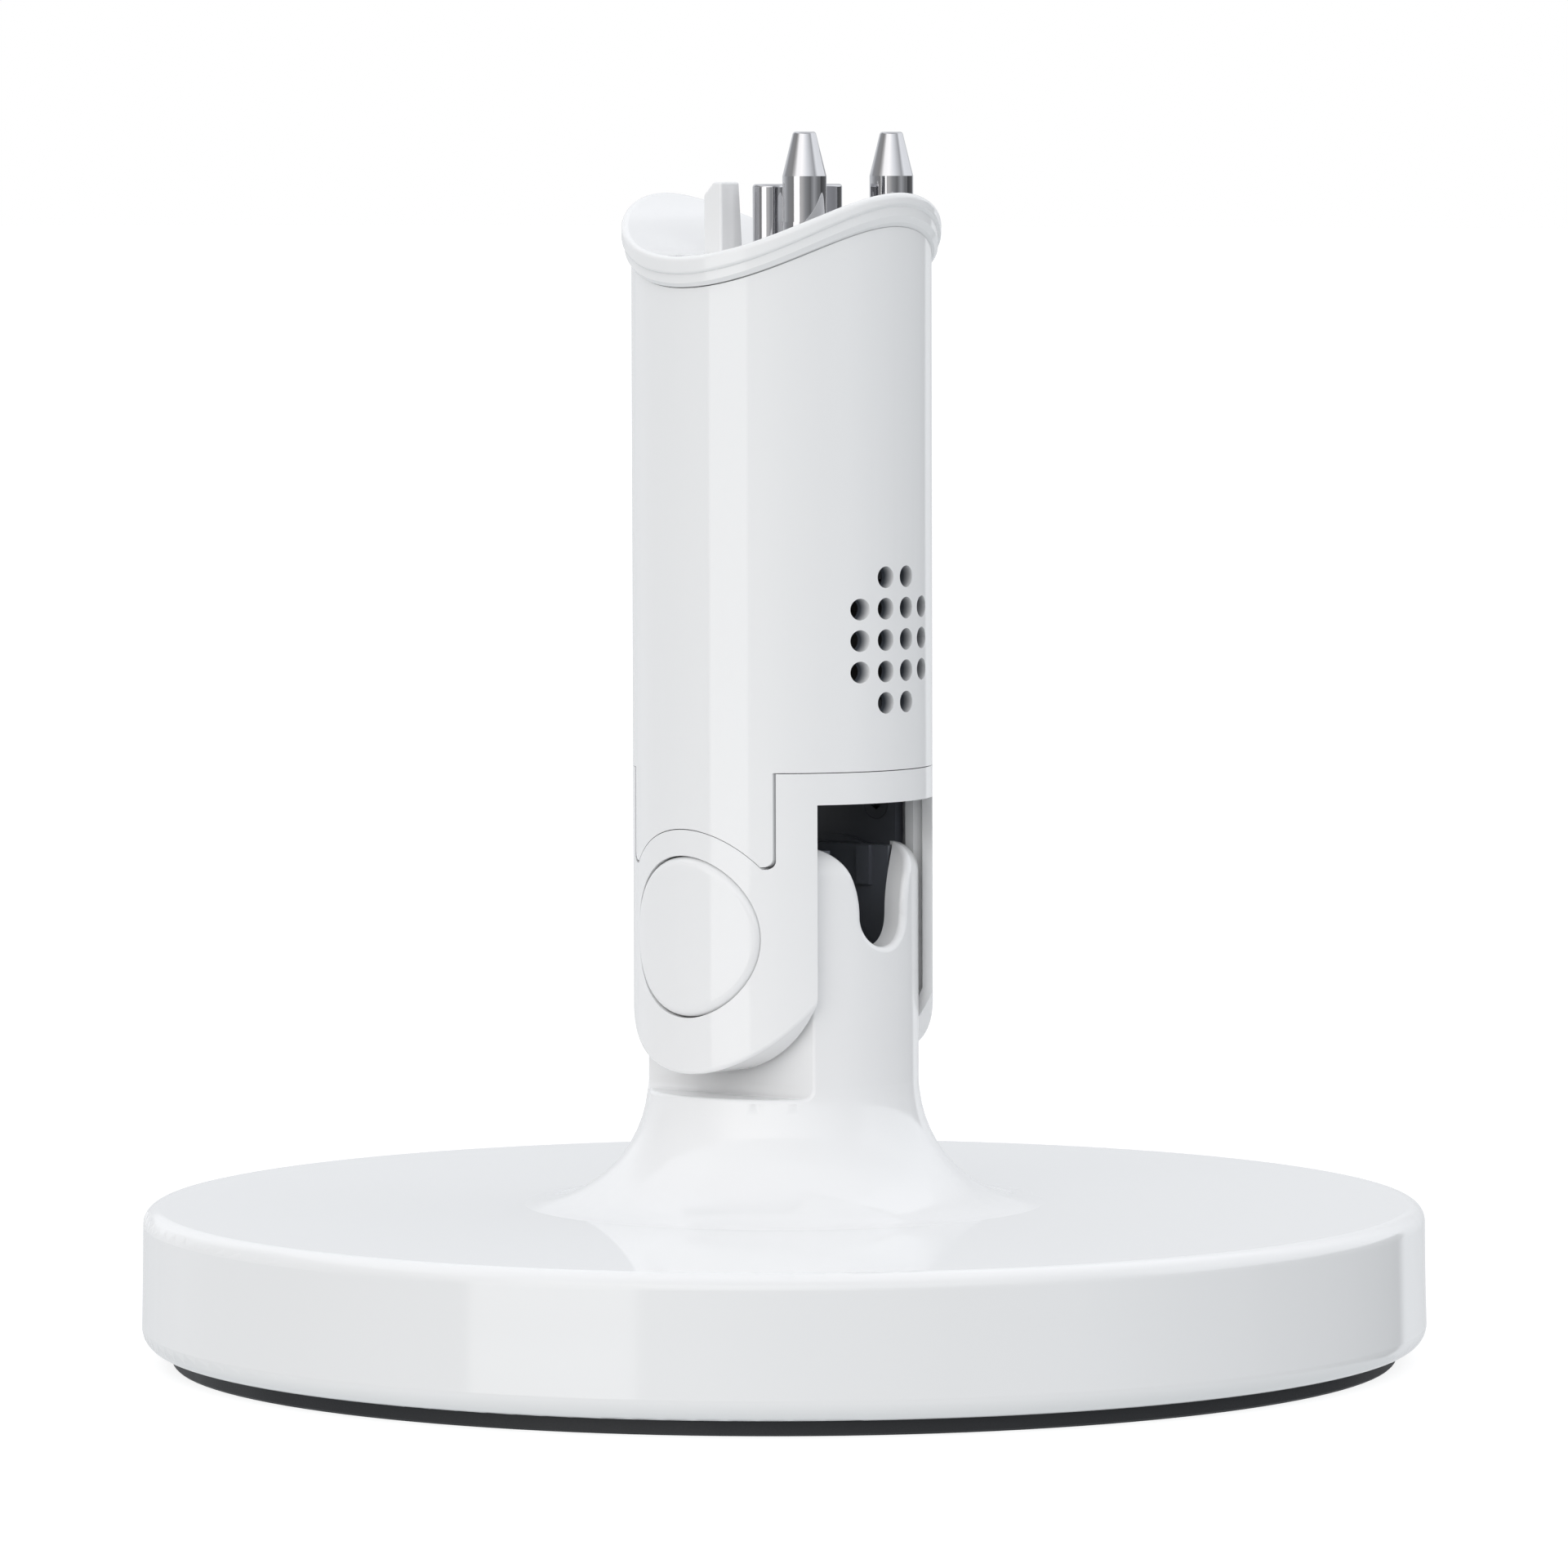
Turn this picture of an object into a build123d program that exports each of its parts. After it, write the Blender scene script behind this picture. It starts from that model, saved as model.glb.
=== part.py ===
"""Customer display base: a round weighted foot with a flared neck, and a post that tilts on it.

Units are millimetres. +Z is up and z = 0 is the underside of the rubber pad, on the axis of the foot.
The tilt hinge lies along X. The front, with the grille and the open side of the yoke, faces -Y.
"""
from build123d import *
from math import cos, radians, sin, sqrt
import os

# Foot
BASE_R = 90.0
BASE_TOP_R = 89.75
BASE_TOP = 21.87
BASE_EDGE_R = 2.3
LIP_R = 87.0
LIP_Z = 2.2
RIM_INNER_R = 85.0
PAD_R = 85.75
PLATE_T = 2.0

# Neck
NECK_R = 19.0
NECK_INNER_R = 15.5
FLARE_R = 17.5
NECK_TOP = 72.7
NECK_ROUND = 4.2
BLADE_X = 11.25
BLADE_INNER_X = 8.75
RECESS_Z = 38.0
RECESS_ROOT = 1.4
LEDGE_Z = 35.5
NOTCH_HALF = 4.4
NOTCH_ARC_Z = 63.1
NOTCH_FLARE_R = 13.5
NOTCH_EDGE = 0.8
BLADE_EDGE = 0.6
SIDE_WALL_TOP = 71.0

# Hinge
HINGE_Z = 60.43
BOLT_R = 3.0
BUSH_R = 4.0
RUNNING_GAP = 0.05
EAR_X = 12.3
CHEEK_T = 2.0
CHEEK_HALF = 10.2
WASHER_R = 12.5
LOBE_R = 19.1
CAP_R = 11.09
CAP_GAP = 0.16
CAP_PROUD = 0.3
CAP_EDGE = 1.3

# Post
TUBE_R = 20.95
TUBE_INNER_R = 18.8
YOKE_WALL_R = 19.5
YOKE_INNER_R = 17.2
OPENING_TOP = 78.93
SEAM_Z = 83.29
SEAM_GAP = 0.12
TONGUE_HALF = 12.8
TONGUE_GAP = 0.35
TONGUE_Z = 70.4
TONGUE_ARC_R = 14.92
TONGUE_CORNER = 1.2
YOKE_SPIGOT_R = 18.65
YOKE_RIB_Y = 13.5
EAR_WALL = 1.8
FRAME_Z = 83.6
FRAME_T = 3.4
UPRIGHT_Y = 3.2
UPRIGHT_TOP = 137.0
YOKE_SCREW_Y = 6.6
YOKE_SCREW_Z = 77.6
AMPLIFIER_Y = 1.56
AMPLIFIER_SCREW_Z = (95.0, 131.0)
BOARD_HOLE_X = (-9.0, 9.0)

# Black bracket in the neck
BRACKET_X = 8.6
BRACKET_INNER_X = 6.2
BRACKET_TOP = 72.2
BRACKET_RIB_Z = 66.7
BRACKET_FOOT_T = 2.5
FRAME_SCREW_Y = (-12.75, 12.75)

# Grille and speaker
GRILLE_Z = 101.46
GRILLE_PITCH = 4.345
GRILLE_HOLE_R = 1.5
GRILLE_ROWS = (2, 4, 4, 4, 2)
SPEAKER_R = 10.0
SPEAKER_Y = -15.2

# Docking head
SADDLE_R = 30.5
SADDLE_LOW = 150.25
SADDLE_TOP = 154.5
BAND_H = 1.8
BEAD_R = 22.3
BAND_R = 21.85
BAND_CHAMFER = 0.55
BEAD_LOW_EDGE = 0.4
BEAD_TOP_EDGE = 0.7
ROOF_T = 2.2
SPIGOT_INNER_R = 17.2
SPIGOT_LOW = 146.5
PIN_X = 9.26
PIN_Y = -12.28
PIN_R = 3.05
PIN_SHANK_R = 3.25
PIN_LOW = 150.0
PIN_STEP_Z = 159.2
PIN_CONE_Z = 165.48
PIN_TOP = 171.6
PIN_TIP_R = 1.55
PLUG_Y = -3.0
PLUG_W = 16.5
PLUG_T = 4.9
PLUG_TOP = 164.4
BOARD_Z = 146.0
BOARD_T = 1.6
BOARD_SCREW_Y = 5.0
KEY_X = -12.7
KEY_TOP = 164.7
KEY_DEPTH = 3.3
KEY_CHAMFER = 1.8
DIMPLE_X = -17.0
DIMPLE_Y = 1.5

# Inlet and leads
INLET_Z = 11.5
INLET_W = 12.4
INLET_H = 7.0
LEAD_R = 1.5
LEAD_Y = 7.5
LEAD_BEND_R = 15.0
BASE_LEAD_TOP = 70.5
ARM_LEAD_LOW = 74.0
INLET_BOARD_Z = 8.2
INLET_POST_Y = 70.0

# Ballast
BALLAST_IN_R = 24.0
BALLAST_OUT_R = 82.0
BALLAST_TOP = 15.2
BOSS_PITCH_R = 60.0
BOSS_R = 4.5
SCREW_HOLE_TOP = 15.0

TALL = 400.0


def x_cylinder(radius, x_low, x_high, y=0.0, z=HINGE_Z):
    """Cylinder along X."""
    axis = Plane(origin=(x_low, y, z), x_dir=(0, 1, 0), z_dir=(1, 0, 0))
    return axis * Cylinder(radius, x_high - x_low, align=(Align.CENTER, Align.CENTER, Align.MIN))


def y_cylinder(radius, y_low, y_high, x, z):
    """Cylinder along Y."""
    axis = Plane(origin=(x, y_low, z), x_dir=(1, 0, 0), z_dir=(0, 1, 0))
    return axis * Cylinder(radius, y_high - y_low, align=(Align.CENTER, Align.CENTER, Align.MIN))


def z_cylinder(radius, z_low, z_high, x=0.0, y=0.0):
    """Cylinder along Z."""
    return Pos(x, y, z_low) * Cylinder(radius, z_high - z_low, align=(Align.CENTER, Align.CENTER, Align.MIN))


def block(x_low, x_high, y_low, y_high, z_low, z_high):
    """Box between two corners."""
    corner = (Align.MIN, Align.MIN, Align.MIN)
    return Pos(x_low, y_low, z_low) * Box(x_high - x_low, y_high - y_low, z_high - z_low, align=corner)


def both_sides(shape):
    """The shape and its mirror image across the plane x = 0."""
    return [shape, mirror(shape, about=Plane.YZ)]


def spin(outline):
    """Turns a face in the XZ plane about the Z axis."""
    return revolve(outline, axis=Axis.Z)


def below_saddle(level, reach=30.0):
    """Everything below the concave saddle whose lowest line is at this level."""
    centre = level + SADDLE_R
    edge_z = centre - sqrt(SADDLE_R ** 2 - reach ** 2) if reach < SADDLE_R else centre
    with BuildSketch(Plane.YZ) as outline:
        with BuildLine():
            Polyline((reach, edge_z), (reach, 0), (-reach, 0), (-reach, edge_z))
            ThreePointArc((-reach, edge_z), (0, level), (reach, edge_z))
        make_face()
    return extrude(outline.sketch, amount=40, both=True)


def stadium_bar(width, thickness, z_low, z_high, y):
    """Upright bar with a stadium section, long side along X."""
    with BuildSketch(Plane.XY.offset(z_low)) as section:
        with Locations((0, y)):
            SlotOverall(width, thickness)
    return extrude(section.sketch, amount=z_high - z_low)


def base_shell():
    """White foot, flare and neck in one moulding."""
    side_z = LIP_Z + BASE_R - LIP_R
    flare_x = NECK_R + FLARE_R
    flare_z = BASE_TOP + FLARE_R
    edge_z = BASE_TOP - BASE_EDGE_R
    flat_r = BASE_TOP_R - BASE_EDGE_R
    diagonal = sqrt(0.5)
    with BuildSketch(Plane.XZ) as outer:
        with BuildLine():
            Line((0, LIP_Z), (LIP_R, LIP_Z))
            RadiusArc((LIP_R, LIP_Z), (BASE_R, side_z), -(BASE_R - LIP_R))
            Line((BASE_R, side_z), (BASE_TOP_R, edge_z))
            RadiusArc((BASE_TOP_R, edge_z), (flat_r, BASE_TOP), -BASE_EDGE_R)
            Line((flat_r, BASE_TOP), (flare_x, BASE_TOP))
            RadiusArc((flare_x, BASE_TOP), (NECK_R, flare_z), FLARE_R)
            Line((NECK_R, flare_z), (NECK_R, NECK_TOP - NECK_ROUND))
            RadiusArc((NECK_R, NECK_TOP - NECK_ROUND), (NECK_R - NECK_ROUND, NECK_TOP), -NECK_ROUND)
            Polyline((NECK_R - NECK_ROUND, NECK_TOP), (0, NECK_TOP), (0, LIP_Z))
        make_face()
    inner_flare = flare_x - NECK_INNER_R
    inner_top = flare_z - inner_flare
    with BuildSketch(Plane.XZ) as cavity:
        with BuildLine():
            Polyline((0, LEDGE_Z), (0, 0), (RIM_INNER_R, 0), (RIM_INNER_R, inner_top), (flare_x, inner_top))
            ThreePointArc(
                (flare_x, inner_top),
                (flare_x - inner_flare * diagonal, flare_z - inner_flare * diagonal),
                (NECK_INNER_R, flare_z),
            )
            Polyline((NECK_INNER_R, flare_z), (NECK_INNER_R, flare_z + 1), (0, flare_z + 1), (0, LEDGE_Z))
        make_face()
    shell = spin(outer.sketch)
    recess = block(BLADE_X, 60, -60, 60, RECESS_Z, TALL)
    recess = fillet(recess.edges().filter_by(Axis.Y).group_by(Axis.Z)[0].sort_by(Axis.X)[0], RECESS_ROOT)
    for side in both_sides(recess):
        shell -= side
    low_cavity = spin(cavity.sketch) & z_cylinder(TALL, 0, LEDGE_Z)
    shell -= low_cavity
    upper_cavity = z_cylinder(NECK_INNER_R, LEDGE_Z, TALL)
    shell -= upper_cavity & block(-BLADE_INNER_X, BLADE_INNER_X, -60, 60, 0, TALL)
    ledge = z_cylinder(NECK_INNER_R + 1.5, LEDGE_Z - 3, LEDGE_Z) - z_cylinder(10, 0, TALL)
    shell += ledge
    return inlet_and_bosses(hinge_openings(shell), inner_top)


def axis_distance(point):
    """Distance of a point from the Z axis."""
    return sqrt(point.X ** 2 + point.Y ** 2)


def notch_outline():
    """U-shaped cable notch, wider at its mouth, seen from the front."""
    top_z = NECK_TOP + 1
    mouth = NOTCH_HALF + NOTCH_FLARE_R - sqrt(NOTCH_FLARE_R ** 2 - (top_z - NOTCH_ARC_Z) ** 2)
    with BuildSketch(Plane.XZ) as notch:
        with BuildLine():
            RadiusArc((-mouth, top_z), (-NOTCH_HALF, NOTCH_ARC_Z), NOTCH_FLARE_R)
            RadiusArc((-NOTCH_HALF, NOTCH_ARC_Z), (NOTCH_HALF, NOTCH_ARC_Z), -NOTCH_HALF)
            RadiusArc((NOTCH_HALF, NOTCH_ARC_Z), (mouth, top_z), NOTCH_FLARE_R)
            Line((mouth, top_z), (-mouth, top_z))
        make_face()
    return notch.sketch


def hinge_openings(shell):
    """Cuts the cable notch and the bush holes in the neck, and softens its edges."""
    shell -= extrude(notch_outline(), amount=30)
    notch_edges = shell.edges().filter_by(GeomType.CIRCLE, reverse=True).filter_by(
        lambda e: abs(e.center().X) < 9 and e.center().Y < -15 and e.center().Z > NOTCH_ARC_Z - 6
        and axis_distance(e.center()) > NECK_INNER_R + 1.8
    )
    shell = fillet(notch_edges, NOTCH_EDGE)
    blade_edges = shell.edges().filter_by(
        lambda e: abs(e.center().X) > BLADE_X - 0.3 and e.center().Z > RECESS_Z - 0.1
        and axis_distance(e.center()) > NECK_INNER_R - 1.5
    )
    shell = fillet(blade_edges, BLADE_EDGE)
    for side in both_sides(x_cylinder(BUSH_R + RUNNING_GAP, 5, 13)):
        shell -= side
    for side in both_sides(block(BLADE_INNER_X - 0.01, 12, -12.2, 12.2, SIDE_WALL_TOP, TALL)):
        shell -= side
    return shell


def boss_places():
    """Centres of the four base screws."""
    return [(BOSS_PITCH_R * cos(radians(a)), BOSS_PITCH_R * sin(radians(a))) for a in (45, 135, 225, 315)]


def inlet_and_bosses(shell, inner_top):
    """Adds the screw bosses and the board posts, and cuts the inlet pocket."""
    plate_top = LIP_Z + PLATE_T
    for x, y in boss_places():
        shell += z_cylinder(BOSS_R, plate_top, inner_top + 0.5, x, y)
        shell -= z_cylinder(1.3, 0, SCREW_HOLE_TOP, x, y)
    for x in BOARD_HOLE_X:
        shell += z_cylinder(2.6, INLET_BOARD_Z + BOARD_T, inner_top + 0.5, x, INLET_POST_Y)
        shell -= z_cylinder(1.05, 0, SCREW_HOLE_TOP, x, INLET_POST_Y)
    with BuildSketch(Plane.XZ) as mouth:
        with Locations((0, INLET_Z)):
            RectangleRounded(INLET_W, INLET_H, 2)
    pocket = extrude(mouth.sketch, amount=-TALL) & block(-20, 20, 80, TALL, 0, TALL)
    shell -= pocket
    for y in FRAME_SCREW_Y:
        shell -= z_cylinder(1.1, LEDGE_Z - 4, LEDGE_Z + 1, 0, y)
    return shell


def bottom_plate():
    """Steel plate that closes the foot, with countersunk holes."""
    plate = z_cylinder(RIM_INNER_R - 0.15, LIP_Z, LIP_Z + PLATE_T)
    for x, y in boss_places():
        plate -= z_cylinder(1.8, 0, 10, x, y)
        plate -= Pos(x, y, LIP_Z) * Cone(3.1, 1.8, 1.3, align=(Align.CENTER, Align.CENTER, Align.MIN))
    return plate


def rubber_pad():
    """Rubber sheet under the foot."""
    pad = z_cylinder(PAD_R, 0, LIP_Z)
    return chamfer(pad.edges().sort_by(Axis.Z)[0], 0.3)


def ballast_weight():
    """Steel ring with a channel for the lead and the inlet board."""
    low = LIP_Z + PLATE_T
    ring = z_cylinder(BALLAST_OUT_R, low, BALLAST_TOP) - z_cylinder(BALLAST_IN_R, 0, TALL)
    ring -= block(-15, 15, 0, 100, 0, TALL)
    for x, y in boss_places():
        ring -= z_cylinder(BOSS_R + 0.5, 0, TALL, x, y)
    edges = ring.edges().filter_by(GeomType.CIRCLE).filter_by(
        lambda e: abs(e.radius - BALLAST_OUT_R) < 0.01 and e.center().Z > low + 1
    )
    return chamfer(edges, 1.0)


def countersunk_screw(head_r, head_h, shaft_r, length):
    """Screw with its head's face at z = 0, pointing up."""
    head = Cone(head_r, shaft_r, head_h, align=(Align.CENTER, Align.CENTER, Align.MIN))
    shaft = Cylinder(shaft_r, length, align=(Align.CENTER, Align.CENTER, Align.MIN))
    socket = Rot(0, 0, 30) * extrude(RegularPolygon(head_r * 0.42, 6), amount=head_h * 0.7)
    return head + shaft - socket


def pan_screw(head_r, head_h, shaft_r, length):
    """Screw with a flat round head below z = 0 and its shaft pointing up."""
    head = Pos(0, 0, -head_h) * Cylinder(head_r, head_h, align=(Align.CENTER, Align.CENTER, Align.MIN))
    head = chamfer(head.edges().sort_by(Axis.Z)[0], head_h * 0.3)
    shaft = Cylinder(shaft_r, length, align=(Align.CENTER, Align.CENTER, Align.MIN))
    socket = Pos(0, 0, -head_h) * extrude(RegularPolygon(head_r * 0.45, 6), amount=head_h * 0.6)
    return head + shaft - socket


def base_screws():
    """Four screws through the bottom plate into the bosses."""
    return [Pos(x, y, LIP_Z) * countersunk_screw(3.0, 1.25, 1.25, 12) for x, y in boss_places()]


def inlet_board():
    """Small circuit board behind the inlet."""
    board = block(-12, 12, 62, 84, INLET_BOARD_Z, INLET_BOARD_Z + BOARD_T)
    for x in BOARD_HOLE_X:
        board -= z_cylinder(1.3, 0, TALL, x, INLET_POST_Y)
    return board


def inlet_board_screws():
    """Two screws that hold the inlet board to its posts."""
    return [Pos(x, INLET_POST_Y, INLET_BOARD_Z) * pan_screw(2.2, 1.4, 1.0, 6.5) for x in BOARD_HOLE_X]


def inlet_socket():
    """Stadium-shaped metal socket with its contact tongue, on the inlet board."""
    low = INLET_BOARD_Z + BOARD_T
    height = 2 * (INLET_Z - low)
    with BuildSketch(Plane.XZ) as section:
        with Locations((0, INLET_Z)):
            SlotOverall(9.4, height)
            SlotOverall(8.9, height - 0.5, mode=Mode.SUBTRACT)
    shell = Pos(0, 77, 0) * extrude(section.sketch, amount=-7.6)
    rear = block(-4.3, 4.3, 77, 78.2, low + 0.3, low + height - 0.3)
    tongue = block(-3.3, 3.3, 78, 83.5, INLET_Z - 0.35, INLET_Z + 0.35)
    return shell + rear + tongue


def base_lead():
    """Internal lead from the inlet board up through the neck."""
    z = INLET_BOARD_Z + BOARD_T + LEAD_R
    with BuildLine() as route:
        FilletPolyline((0, 61.5, z), (0, LEAD_Y, z), (0, LEAD_Y, BASE_LEAD_TOP), radius=LEAD_BEND_R)
    with BuildSketch(Plane(route.line @ 0, z_dir=route.line % 0)) as section:
        Circle(LEAD_R)
    return sweep(section.sketch, path=route.line)


def lead_plug():
    """Plug of the base lead on the inlet board."""
    low = INLET_BOARD_Z + BOARD_T
    return block(-3.5, 3.5, 61.5, 67, low, low + 4.2)


def hinge_frame():
    """Black bracket in the neck: two cheeks on a foot that is screwed to the ledge."""
    room = z_cylinder(NECK_INNER_R - 0.2, 0, TALL)
    foot = block(-BRACKET_X, BRACKET_X, -20, 20, LEDGE_Z, LEDGE_Z + BRACKET_FOOT_T) & room
    foot -= z_cylinder(LEAD_R + 0.9, 0, TALL, 0, LEAD_Y)
    foot -= z_cylinder(3.5, 0, TALL, 0, -3)
    for y in FRAME_SCREW_Y:
        foot -= z_cylinder(1.35, 0, TALL, 0, y)
    cheek = block(BRACKET_INNER_X, BRACKET_X, -20, 20, LEDGE_Z, BRACKET_TOP) & room
    cheek += block(BRACKET_INNER_X - 0.6, BRACKET_INNER_X + 0.1, -11.0, -8.6, BRACKET_RIB_Z, BRACKET_TOP)
    cheek -= x_cylinder(BUSH_R + RUNNING_GAP, 5, 10)
    bracket = foot
    for side in both_sides(cheek):
        bracket += side
    return bracket


def frame_screws():
    """Two screws that hold the hinge frame to the ledge in the neck."""
    top = LEDGE_Z + BRACKET_FOOT_T
    return [Pos(0, y, top) * Rot(180, 0, 0) * pan_screw(2.1, 1.4, 1.0, 5.2) for y in FRAME_SCREW_Y]


def hinge_bush():
    """Brass bush that carries the bolt in the neck, on the +X side."""
    sleeve = x_cylinder(BUSH_R, BRACKET_INNER_X, BLADE_X)
    flange = x_cylinder(5.6, BRACKET_INNER_X - 1.0, BRACKET_INNER_X)
    return sleeve + flange - x_cylinder(BOLT_R + RUNNING_GAP, 0, 20)


def friction_washer():
    """Black disc between the neck and the ear, on the +X side."""
    return x_cylinder(WASHER_R, EAR_X - 0.75, EAR_X) - x_cylinder(BOLT_R + 0.3, 0, 20)


def hinge_bolt():
    """Hex bolt along the hinge axis, with its head on the -X side."""
    seat = EAR_X + CHEEK_T
    shaft = x_cylinder(BOLT_R, -seat, 18.6)
    head_plane = Plane(origin=(-seat, 0, HINGE_Z), x_dir=(0, 1, 0), z_dir=(-1, 0, 0))
    head = extrude(head_plane * RegularPolygon(5.6, 6), amount=3.4)
    head &= head_plane * Cylinder(5.4, 20)
    return chamfer((shaft + head).edges().sort_by(Axis.X)[-1], 0.5)


def hinge_nut():
    """Hex lock nut on the +X side."""
    plane = Plane(origin=(15.7, 0, HINGE_Z), x_dir=(0, 1, 0), z_dir=(1, 0, 0))
    nut = extrude(plane * RegularPolygon(5.6, 6), amount=2.7)
    return nut - x_cylinder(BOLT_R + RUNNING_GAP, 0, 30)


def spring_washers():
    """Two cupped washers, nested under the nut."""
    seat = EAR_X + CHEEK_T
    washers = []
    for number in range(2):
        low = seat + 0.02 + number * 0.68
        plane = Plane(origin=(low, 0, HINGE_Z), x_dir=(0, 1, 0), z_dir=(1, 0, 0))
        cup = plane * Cone(6.2, 5.6, 0.64, align=(Align.CENTER, Align.CENTER, Align.MIN))
        washers.append(cup - x_cylinder(BOLT_R + 0.2, 0, 30))
    return washers


def cheek_outline(gap=0.0):
    """Side view of an arm frame cheek, grown by a gap: a round end and a straight upper part."""
    with BuildSketch(Plane.YZ) as outline:
        with Locations((0, HINGE_Z)):
            Circle(WASHER_R + gap)
        with Locations((0, (HINGE_Z + FRAME_Z + 0.5) / 2)):
            Rectangle(2 * (CHEEK_HALF + gap), FRAME_Z + 0.5 - HINGE_Z)
    return outline.sketch


def arm_frame():
    """Black inner clevis: two cheeks, a cross plate and an upright plate for the boards."""
    frame = z_cylinder(YOKE_INNER_R - 0.1, FRAME_Z, FRAME_Z + FRAME_T)
    cheek = Pos(EAR_X, 0, 0) * extrude(cheek_outline(), amount=CHEEK_T)
    cheek -= x_cylinder(BOLT_R + RUNNING_GAP, 0, 30)
    for y, z in yoke_screw_places():
        cheek -= x_cylinder(1.2, 0, 30, y, z)
        cheek -= x_cone(2.3, 1.2, EAR_X, 1.2, y, z)
    for side in both_sides(cheek):
        frame += side
    frame += block(-13, 13, UPRIGHT_Y, UPRIGHT_Y + 2.0, FRAME_Z + FRAME_T - 0.5, UPRIGHT_TOP)
    frame -= z_cylinder(LEAD_R + 0.9, 0, TALL, 0, LEAD_Y)
    frame -= z_cylinder(4.0, FRAME_Z - 1, FRAME_Z + FRAME_T + 1, 0, -6)
    for x in BOARD_HOLE_X:
        for z in AMPLIFIER_SCREW_Z:
            frame -= y_cylinder(1.05, 0, 10, x, z)
    return frame


def x_cone(r_low, r_high, x_low, height, y, z):
    """Cone along +X that starts with its wide end at x_low."""
    plane = Plane(origin=(x_low, y, z), x_dir=(0, 1, 0), z_dir=(1, 0, 0))
    return plane * Cone(r_low, r_high, height, align=(Align.CENTER, Align.CENTER, Align.MIN))


def yoke_screw_places():
    """(y, z) of the two screws in each cheek."""
    return [(-YOKE_SCREW_Y, YOKE_SCREW_Z), (YOKE_SCREW_Y, YOKE_SCREW_Z)]


def yoke_screws():
    """Countersunk screws from the cheeks into the yoke, two a side."""
    screws = []
    for y, z in yoke_screw_places():
        plane = Plane(origin=(EAR_X + 0.02, y, z), x_dir=(0, 1, 0), z_dir=(1, 0, 0))
        screws += both_sides(plane * countersunk_screw(2.2, 1.15, 1.0, 4.2))
    return screws


def tongue_outline(gap):
    """Side view of the tube's side tongue, grown by a gap. Its lower end stays off the lobe circle."""
    half = TONGUE_HALF - TONGUE_GAP / 2 + gap
    low = TONGUE_Z - gap
    top = SEAM_Z + 1
    with BuildSketch(Plane.YZ) as outline:
        with Locations((0, (low + top) / 2)):
            Rectangle(2 * half, top - low)
        fillet(outline.vertices().group_by(Axis.Y)[0], TONGUE_CORNER)
        with Locations((0, HINGE_Z)):
            Circle(TONGUE_ARC_R + SEAM_GAP / 2 - min(gap, SEAM_GAP), mode=Mode.SUBTRACT)
    return outline.sketch


def tube_shell():
    """White post with the grille, and a tongue down each side."""
    tube = z_cylinder(TUBE_R, SEAM_Z + SEAM_GAP, TALL) & below_saddle(SADDLE_LOW - SEAM_GAP)
    tongue = extrude(tongue_outline(0), amount=TUBE_R + 5, both=True)
    tube += z_cylinder(TUBE_R, 0, SEAM_Z + 0.8) & tongue
    tube -= z_cylinder(TUBE_INNER_R, 0, TALL)
    for x, z in grille_places():
        tube -= y_cylinder(GRILLE_HOLE_R, -30, 0, x, z)
    return tube


def grille_places():
    """(x, z) of the grille holes, row by row from the top."""
    places = []
    for row, count in enumerate(GRILLE_ROWS):
        z = GRILLE_Z + (2 - row) * GRILLE_PITCH
        places += [((column - (count - 1) / 2) * GRILLE_PITCH, z) for column in range(count)]
    return places


def yoke():
    """White clevis: two ears, the bridges over the openings and a spigot for the tube."""
    with BuildSketch(Plane.YZ) as side:
        with Locations((0, HINGE_Z)):
            Circle(LOBE_R)
        with Locations((0, (HINGE_Z + SEAM_Z) / 2)):
            Rectangle(60, SEAM_Z - HINGE_Z)
    body = z_cylinder(TUBE_R, 0, SEAM_Z) & extrude(side.sketch, amount=40, both=True)
    body += z_cylinder(YOKE_SPIGOT_R, SEAM_Z - 1, FRAME_Z + FRAME_T)
    body -= block(-EAR_X, EAR_X, -60, 60, 0, OPENING_TOP)
    inner_lobe = x_cylinder(LOBE_R - EAR_WALL, -60, 60) + block(-60, 60, -60, 60, HINGE_Z, TALL)
    hollow = z_cylinder(YOKE_INNER_R, 0, TALL) & inner_lobe
    pocket = z_cylinder(YOKE_WALL_R, 0, OPENING_TOP) & inner_lobe
    pocket -= block(-60, 60, -YOKE_RIB_Y, YOKE_RIB_Y, 0, TALL)
    body -= hollow
    body -= pocket
    window = extrude(tongue_outline(TONGUE_GAP), amount=TUBE_R + 5, both=True)
    body -= window - z_cylinder(YOKE_SPIGOT_R, 0, TALL)
    body -= both_sides(Pos(EAR_X - 0.3, 0, 0) * extrude(cheek_outline(0.15), amount=CHEEK_T + 0.32))
    inside = z_cylinder(YOKE_SPIGOT_R - 0.6, 0, TALL)
    for y, z in yoke_screw_places():
        body += both_sides(x_cylinder(2.5, EAR_X + CHEEK_T, YOKE_SPIGOT_R, y, z) & inside)
    for y, z in yoke_screw_places():
        body -= both_sides(x_cylinder(1.05, 10, EAR_X + CHEEK_T + 2.6, y, z))
    body -= x_cylinder(CAP_R + CAP_GAP, -60, 60)
    return soften_ears(body)


def soften_ears(body):
    """Rounds the outer edges of the ears' lobes."""
    lobe_edges = body.edges().filter_by(
        lambda e: e.center().Z < HINGE_Z - 8 and abs(axis_distance(e.center()) - TUBE_R) < 2.2
        and e.length > 20
    )
    return fillet(lobe_edges, 0.6)


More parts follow.
